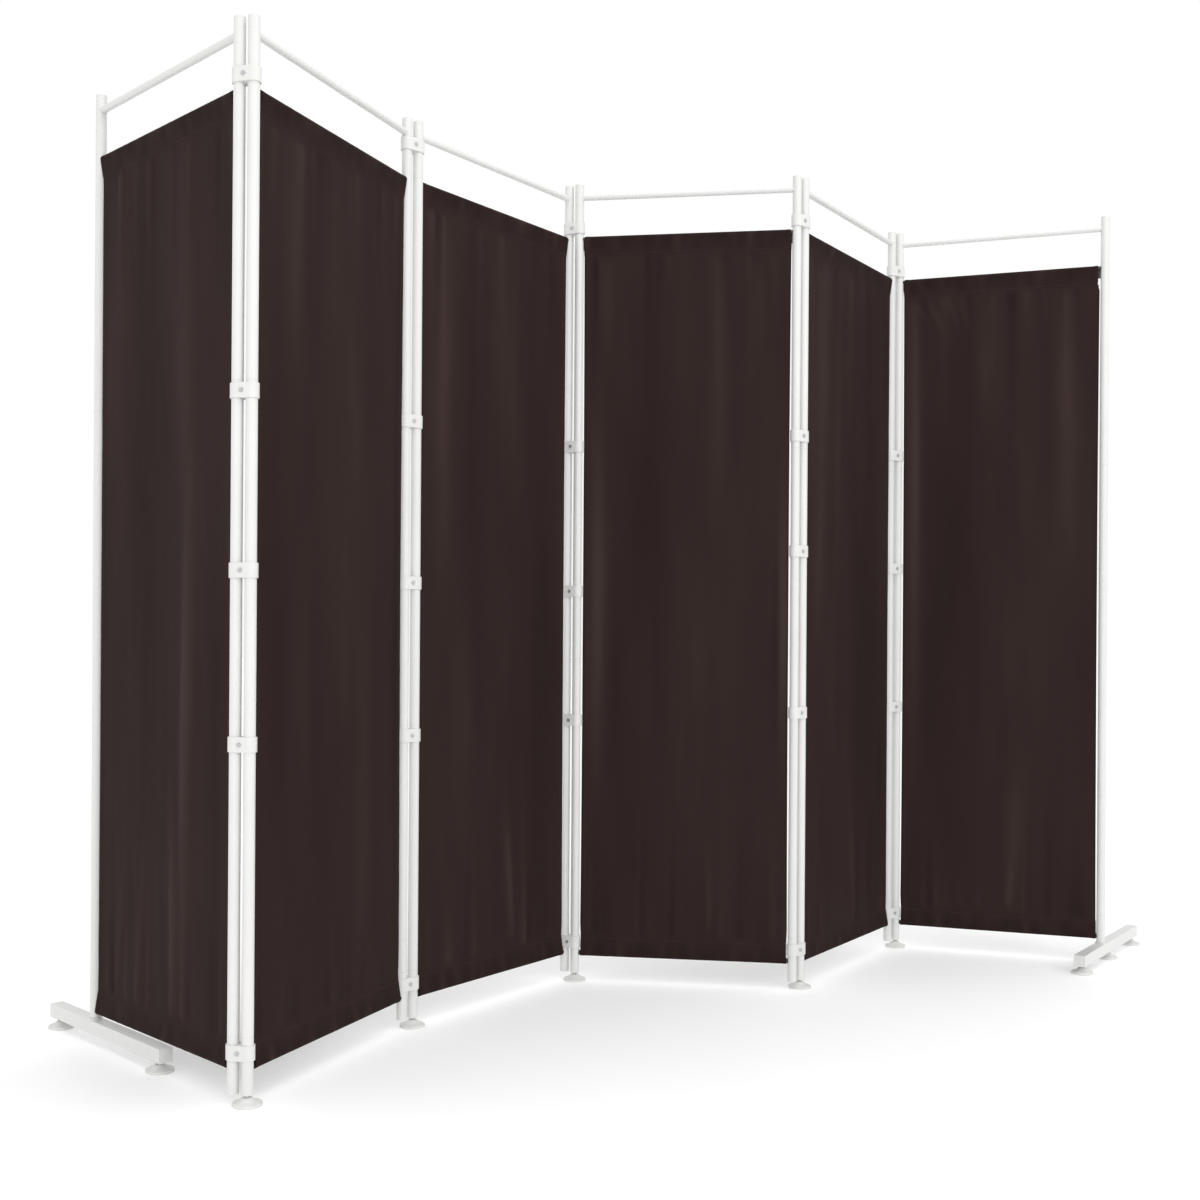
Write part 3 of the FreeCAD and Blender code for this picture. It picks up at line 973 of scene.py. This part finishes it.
# %% [markdown]
# ## Tube seams
# The posts come apart into sections that plug together, and each joint shows as a fine dark
# line round the tube. A ring less than a tenth of a millimetre proud of the paint is laid at
# each joint by Geometry Nodes. The joints sit at the same heights on all posts, near the clips.

# %% Seam rings on the posts
SEAM_HEIGHTS = (0.108, 0.572, 1.142, 1.607)
SEAM_PROUD = 0.08 * MM
SEAM_WIDTH = 0.7 * MM
SEAM_SIDES = 40
SEAM_PROFILE_SIDES = 6
DIRT_SPOT = 4.0 * MM


def make_seam_material():
    """Shadow in the joint between two tube sections: dull grey with a little dirt."""
    material, tree, surface = new_material("tube_joint_shadow")
    place = add(tree, "ShaderNodeTexCoord").outputs["Object"]
    dirt = add(
        tree, "ShaderNodeTexNoise", {"Vector": place, "Scale": 1 / DIRT_SPOT, "Detail": 3.0}
    )
    tint = add(tree, "ShaderNodeValToRGB", {"Fac": dirt.outputs["Fac"]})
    tint.color_ramp.elements[0].color = linear("#8f8f8e")
    tint.color_ramp.elements[1].color = linear("#b9b9b7")
    shader = add(
        tree, "ShaderNodeBsdfPrincipled", {"Base Color": tint.outputs["Color"], "Roughness": 0.7}
    )
    tree.links.new(shader.outputs["BSDF"], surface)
    return material


def make_ring_tree():
    """Puts a flat ring round each point of the source."""
    tree, given, output = new_tree("tube_joint_rings", ("Ring Radius", "Ring Width"))
    circle = add(
        tree,
        "GeometryNodeCurvePrimitiveCircle",
        {"Resolution": SEAM_SIDES, "Radius": given.outputs["Ring Radius"]},
    )
    half = add(
        tree, "ShaderNodeMath", {0: given.outputs["Ring Width"], 1: 0.5}, operation="MULTIPLY"
    )
    profile = add(
        tree,
        "GeometryNodeCurvePrimitiveCircle",
        {"Resolution": SEAM_PROFILE_SIDES, "Radius": half.outputs[0]},
    )
    band = add(
        tree,
        "GeometryNodeCurveToMesh",
        {"Curve": circle.outputs["Curve"], "Profile Curve": profile.outputs["Curve"]},
    )
    laid = add(
        tree,
        "GeometryNodeInstanceOnPoints",
        {"Points": given.outputs["Geometry"], "Instance": band.outputs["Mesh"]},
    )
    finish_tree(tree, laid.outputs["Instances"], output, joint_shadow)
    return tree


joint_shadow = make_seam_material()
ring_tree = make_ring_tree()
ring_radius = POST_RADIUS + SEAM_PROUD - SEAM_WIDTH / 2
ring_sizes = {"Ring Radius": ring_radius, "Ring Width": SEAM_WIDTH}
for panel in panels:
    posts = (panel.left, panel.right)
    spots = [post + Vector((0, 0, height)) for post in posts for height in SEAM_HEIGHTS]
    source = bpy.data.meshes.new("joint_spots")
    source.from_pydata(spots, [], [])
    rings = grow(f"panel_{panel.number}_tube_seams", ring_tree, source, ring_sizes, joint_shadow)
    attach(rings, panel.body)
print("seam rings on each panel", len(spots))

# %% [markdown]
# ## Weld beads
# Each top rail is welded between its posts. The bead runs round the rail's end, along the
# saddle line where the small tube meets the large one, and the powder coat rounds it off. The
# saddle line is worked out from the two radii, and a tree sweeps a small circle along it, with
# a fixed noise for the ripples of the weld.

# %% Weld beads on the rails
RAIL_RADIUS = 6.35 * MM
BEAD_RADIUS = 1.1 * MM
BEAD_RIPPLE = 0.5 * MM
RIPPLE_WAVE = 2.2 * MM
BEAD_POINTS = 56
BEAD_SIDES = 8


def saddle_line(panel, height, side):
    """Closed line where a rail meets its left (0) or right (1) post."""
    line = []
    for step in range(BEAD_POINTS):
        turn = 2 * math.pi * step / BEAD_POINTS
        deep = RAIL_RADIUS * math.cos(turn)
        reach = math.sqrt(POST_RADIUS**2 - deep**2)
        across = reach if side == 0 else panel.width - reach
        line.append(panel.at(across, deep, height + RAIL_RADIUS * math.sin(turn)))
    return line


def make_bead_tree():
    """Sweeps a rippled round bead along each closed line of the source."""
    tree, given, output = new_tree("weld_bead", ("Bead Radius", "Ripple"))
    line = add(tree, "GeometryNodeMeshToCurve", {"Mesh": given.outputs["Geometry"]})
    profile = add(
        tree,
        "GeometryNodeCurvePrimitiveCircle",
        {"Resolution": BEAD_SIDES, "Radius": given.outputs["Bead Radius"]},
    )
    bead = add(
        tree,
        "GeometryNodeCurveToMesh",
        {"Curve": line.outputs["Curve"], "Profile Curve": profile.outputs["Curve"]},
    )
    ripple = add(tree, "ShaderNodeTexNoise", {"Scale": 1 / RIPPLE_WAVE, "Detail": 0.0})
    centred = add(
        tree,
        "ShaderNodeVectorMath",
        {0: ripple.outputs["Color"], 1: (0.5, 0.5, 0.5)},
        operation="SUBTRACT",
    )
    offset = add(
        tree,
        "ShaderNodeVectorMath",
        {0: centred.outputs[0], "Scale": given.outputs["Ripple"]},
        operation="SCALE",
    )
    moved = add(
        tree,
        "GeometryNodeSetPosition",
        {"Geometry": bead.outputs["Mesh"], "Offset": offset.outputs[0]},
    )
    finish_tree(tree, moved.outputs["Geometry"], output, powder_coat)
    return tree


bead_tree = make_bead_tree()
bead_sizes = {"Bead Radius": BEAD_RADIUS, "Ripple": BEAD_RIPPLE}
for panel in panels:
    rail_low, rail_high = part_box(f"panel_{panel.number}_top_rail")
    height = (rail_low.z + rail_high.z) / 2
    saddles = [saddle_line(panel, height, side) for side in (0, 1)]
    source = lines_mesh("saddle_lines", saddles, closed=True)
    beads = grow(f"panel_{panel.number}_weld_beads", bead_tree, source, bead_sizes, powder_coat)
    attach(beads, panel.body)
print("weld beads", 2 * PANEL_COUNT, "faces each", len(beads.data.polygons) // 2)

# %% [markdown]
# ## Levelling pads
# A pad is a moulded white foot on a threaded steel stem that screws up into the post or bar.
# Its mould is turned on a lathe, so the pad's mesh is a profile spun round the axis, with a
# rounded rim and a hollow flank. The stem's thread is a run of narrow crests. Both are one piece
# with two finishes, and the piece replaces the plainer CAD pad.

# %% Pads and stems
PAD_PROFILE_MM = (
    (0.0, 0.0), (22.6, 0.0), (23.6, 0.4), (24.0, 1.2), (24.0, 3.2), (23.7, 4.0), (23.0, 4.5),
    (19.0, 5.6), (15.5, 7.0), (12.0, 9.0), (9.4, 11.2), (8.2, 12.3), (7.4, 12.8), (6.6, 13.0),
    (0.0, 13.0),
)
PAD_SIDES = 48
STEM_SIDES = 20
STEM_BOTTOM_MM = 12.6
STEM_TOP_MM = 41.0
STEM_TAPER_MM = 0.6
SCREW_PITCH_MM = 1.25
CREST_RADIUS_MM = 4.0
CREST_HALF_MM = 0.12
ROOT_RADIUS_MM = 3.3


def stem_profile():
    """Outline of the threaded stem in mm, crest and root in turn."""
    outline = [(0.0, STEM_BOTTOM_MM), (ROOT_RADIUS_MM, STEM_BOTTOM_MM)]
    height = STEM_BOTTOM_MM + SCREW_PITCH_MM / 2
    while height < STEM_TOP_MM - SCREW_PITCH_MM:
        outline.append((CREST_RADIUS_MM, height - CREST_HALF_MM))
        outline.append((CREST_RADIUS_MM, height + CREST_HALF_MM))
        outline.append((ROOT_RADIUS_MM, height + SCREW_PITCH_MM / 2))
        height += SCREW_PITCH_MM
    return outline + [(ROOT_RADIUS_MM - STEM_TAPER_MM, STEM_TOP_MM), (0.0, STEM_TOP_MM)]


def spin(outline, sides, middle, points, faces):
    """Adds a closed shape spun from an outline that starts and ends on the axis."""
    first = len(points)
    points.append(middle + Vector((0, 0, outline[0][1] * MM)))
    for radius, height in outline[1:-1]:
        for step in range(sides):
            turn = 2 * math.pi * step / sides
            reach = Vector((radius * math.cos(turn), radius * math.sin(turn), height))
            points.append(middle + reach * MM)
    points.append(middle + Vector((0, 0, outline[-1][1] * MM)))
    rings, last = len(outline) - 2, len(points) - 1
    for step in range(sides):
        after = (step + 1) % sides
        faces.append((first, first + 1 + after, first + 1 + step))
        for ring in range(rings - 1):
            low, high = first + 1 + ring * sides, first + 1 + (ring + 1) * sides
            faces.append((low + step, low + after, high + after, high + step))
        top = first + 1 + (rings - 1) * sides
        faces.append((top + step, top + after, last))


pad_names = [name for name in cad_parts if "_pad" in name]
for name in pad_names:
    points, faces = [], []
    middle = axis_of(name)
    spin(PAD_PROFILE_MM, PAD_SIDES, middle, points, faces)
    moulded = len(faces)
    spin(stem_profile(), STEM_SIDES, middle, points, faces)
    mesh = bpy.data.meshes.new(name + "_threaded")
    mesh.from_pydata(points, [], faces)
    pad = show(name + "_threaded", mesh, white_moulding, zinc_plating)
    mesh.polygons.foreach_set("material_index", [int(i >= moulded) for i in range(len(faces))])
    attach(pad, name)
    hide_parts(name)
print("pads", len(pad_names), "faces each", len(faces))

# %% [markdown]
# ## Floor and light
# The photograph is a white studio: a pale floor that runs out into a white background, large
# soft lights, and only faint shadows at the feet. An even white world does most of the work. A
# large soft light from the front right and a weaker one from the front left give the folds and
# tubes a bright and a dim side, and a third from above lights the rails and the floor. The floor
# glows a little, so that it runs out into the white.

# %% Studio floor and lights
FLOOR_HALF = 40.0
FLOOR_MOTTLE = 0.25
FLOOR_GLOW = 0.16
SOFTBOX_SIZE = 3.0
SCREEN_MIDDLE = (0.0, 0.0, 0.8)
FLOOR_MIDDLE = (0.0, 0.0, 0.0)


def make_floor_material():
    """Painted studio floor: matt off-white with a very faint mottle."""
    material, tree, surface = new_material("studio_floor_paint")
    place = add(tree, "ShaderNodeTexCoord").outputs["Object"]
    mottle = add(
        tree, "ShaderNodeTexNoise", {"Vector": place, "Scale": 1 / FLOOR_MOTTLE, "Detail": 4.0}
    )
    tint = add(tree, "ShaderNodeValToRGB", {"Fac": mottle.outputs["Fac"]})
    tint.color_ramp.elements[0].color = linear("#f1f1f1")
    tint.color_ramp.elements[1].color = linear("#f5f5f5")
    shader = add(
        tree,
        "ShaderNodeBsdfPrincipled",
        {
            "Base Color": tint.outputs["Color"],
            "Roughness": 0.6,
            "Specular IOR Level": 0.2,
            "Emission Color": linear("#ffffff"),
            "Emission Strength": FLOOR_GLOW,
        },
    )
    tree.links.new(shader.outputs["BSDF"], surface)
    return material


floor_mesh = bpy.data.meshes.new("studio_floor")
floor_signs = ((-1, -1), (1, -1), (1, 1), (-1, 1))
floor_corners = [(x * FLOOR_HALF, y * FLOOR_HALF, cad_low.z) for x, y in floor_signs]
floor_mesh.from_pydata(floor_corners, [], [(0, 1, 2, 3)])
floor = show("studio_floor", floor_mesh, make_floor_material())

scene = bpy.context.scene
scene.view_settings.view_transform = "Standard"
studio = bpy.data.worlds.new("white_studio")
studio.use_nodes = True
backing = studio.node_tree.nodes["Background"]
backing.inputs["Color"].default_value = linear("#ffffff")
backing.inputs["Strength"].default_value = 1.0
scene.world = studio


def soft_light(name, place, target, watts):
    """A square soft light aimed at a point."""
    lamp = bpy.data.lights.new(name, "AREA")
    lamp.shape = "SQUARE"
    lamp.size = SOFTBOX_SIZE
    lamp.energy = watts
    holder = bpy.data.objects.new(name, lamp)
    scene.collection.objects.link(holder)
    holder.location = place
    holder.rotation_euler = (Vector(target) - Vector(place)).to_track_quat("-Z", "Y").to_euler()


soft_light("key_softbox", place=(2.0, -6.0, 3.2), target=SCREEN_MIDDLE, watts=68.0)
soft_light("front_fill", place=(-2.6, -5.8, 2.2), target=SCREEN_MIDDLE, watts=56.0)
soft_light("top_softbox", place=(0.2, -0.6, 4.4), target=FLOOR_MIDDLE, watts=36.0)
print("lights", len(bpy.data.lights))

# %% [markdown]
# ## Camera
# The camera stands low in front of the second panel and looks a little to the right. Its place,
# turn and lens were fitted to the posts and cloth edges in the photograph. It looks level, so the
# posts stay upright but for a small roll, and a small upward shift frames the screen.

# %% Camera
SENSOR_MM = 36.0
FRAME_PIXELS = 1200.0
FOCAL_PIXELS = 1376.26
HORIZON_PIXEL = 636.42
CAMERA_PLACE = (-1.06239, -2.5794, 0.74169)
CAMERA_TURN = -0.31646
CAMERA_ROLL = 0.00667
NEAREST, FARTHEST = 0.05, 200.0

lens = bpy.data.cameras.new("camera")
lens.sensor_width = SENSOR_MM
lens.lens = lens.sensor_width * FOCAL_PIXELS / FRAME_PIXELS
lens.shift_y = (HORIZON_PIXEL - FRAME_PIXELS / 2) / FRAME_PIXELS
lens.clip_start, lens.clip_end = NEAREST, FARTHEST
camera = bpy.data.objects.new("camera", lens)
scene.collection.objects.link(camera)
camera.matrix_world = (
    Matrix.Translation(CAMERA_PLACE)
    @ Matrix.Rotation(CAMERA_TURN, 4, "Z")
    @ Matrix.Rotation(math.pi / 2, 4, "X")
    @ Matrix.Rotation(CAMERA_ROLL, 4, "Z")
)
scene.camera = camera
print("lens in mm", round(lens.lens, 2), "shift", round(lens.shift_y, 4))

# %% [markdown]
# ## Last look
# The scene is brought up to date before the frame is closed.

# %% Finish
bpy.context.view_layer.update()
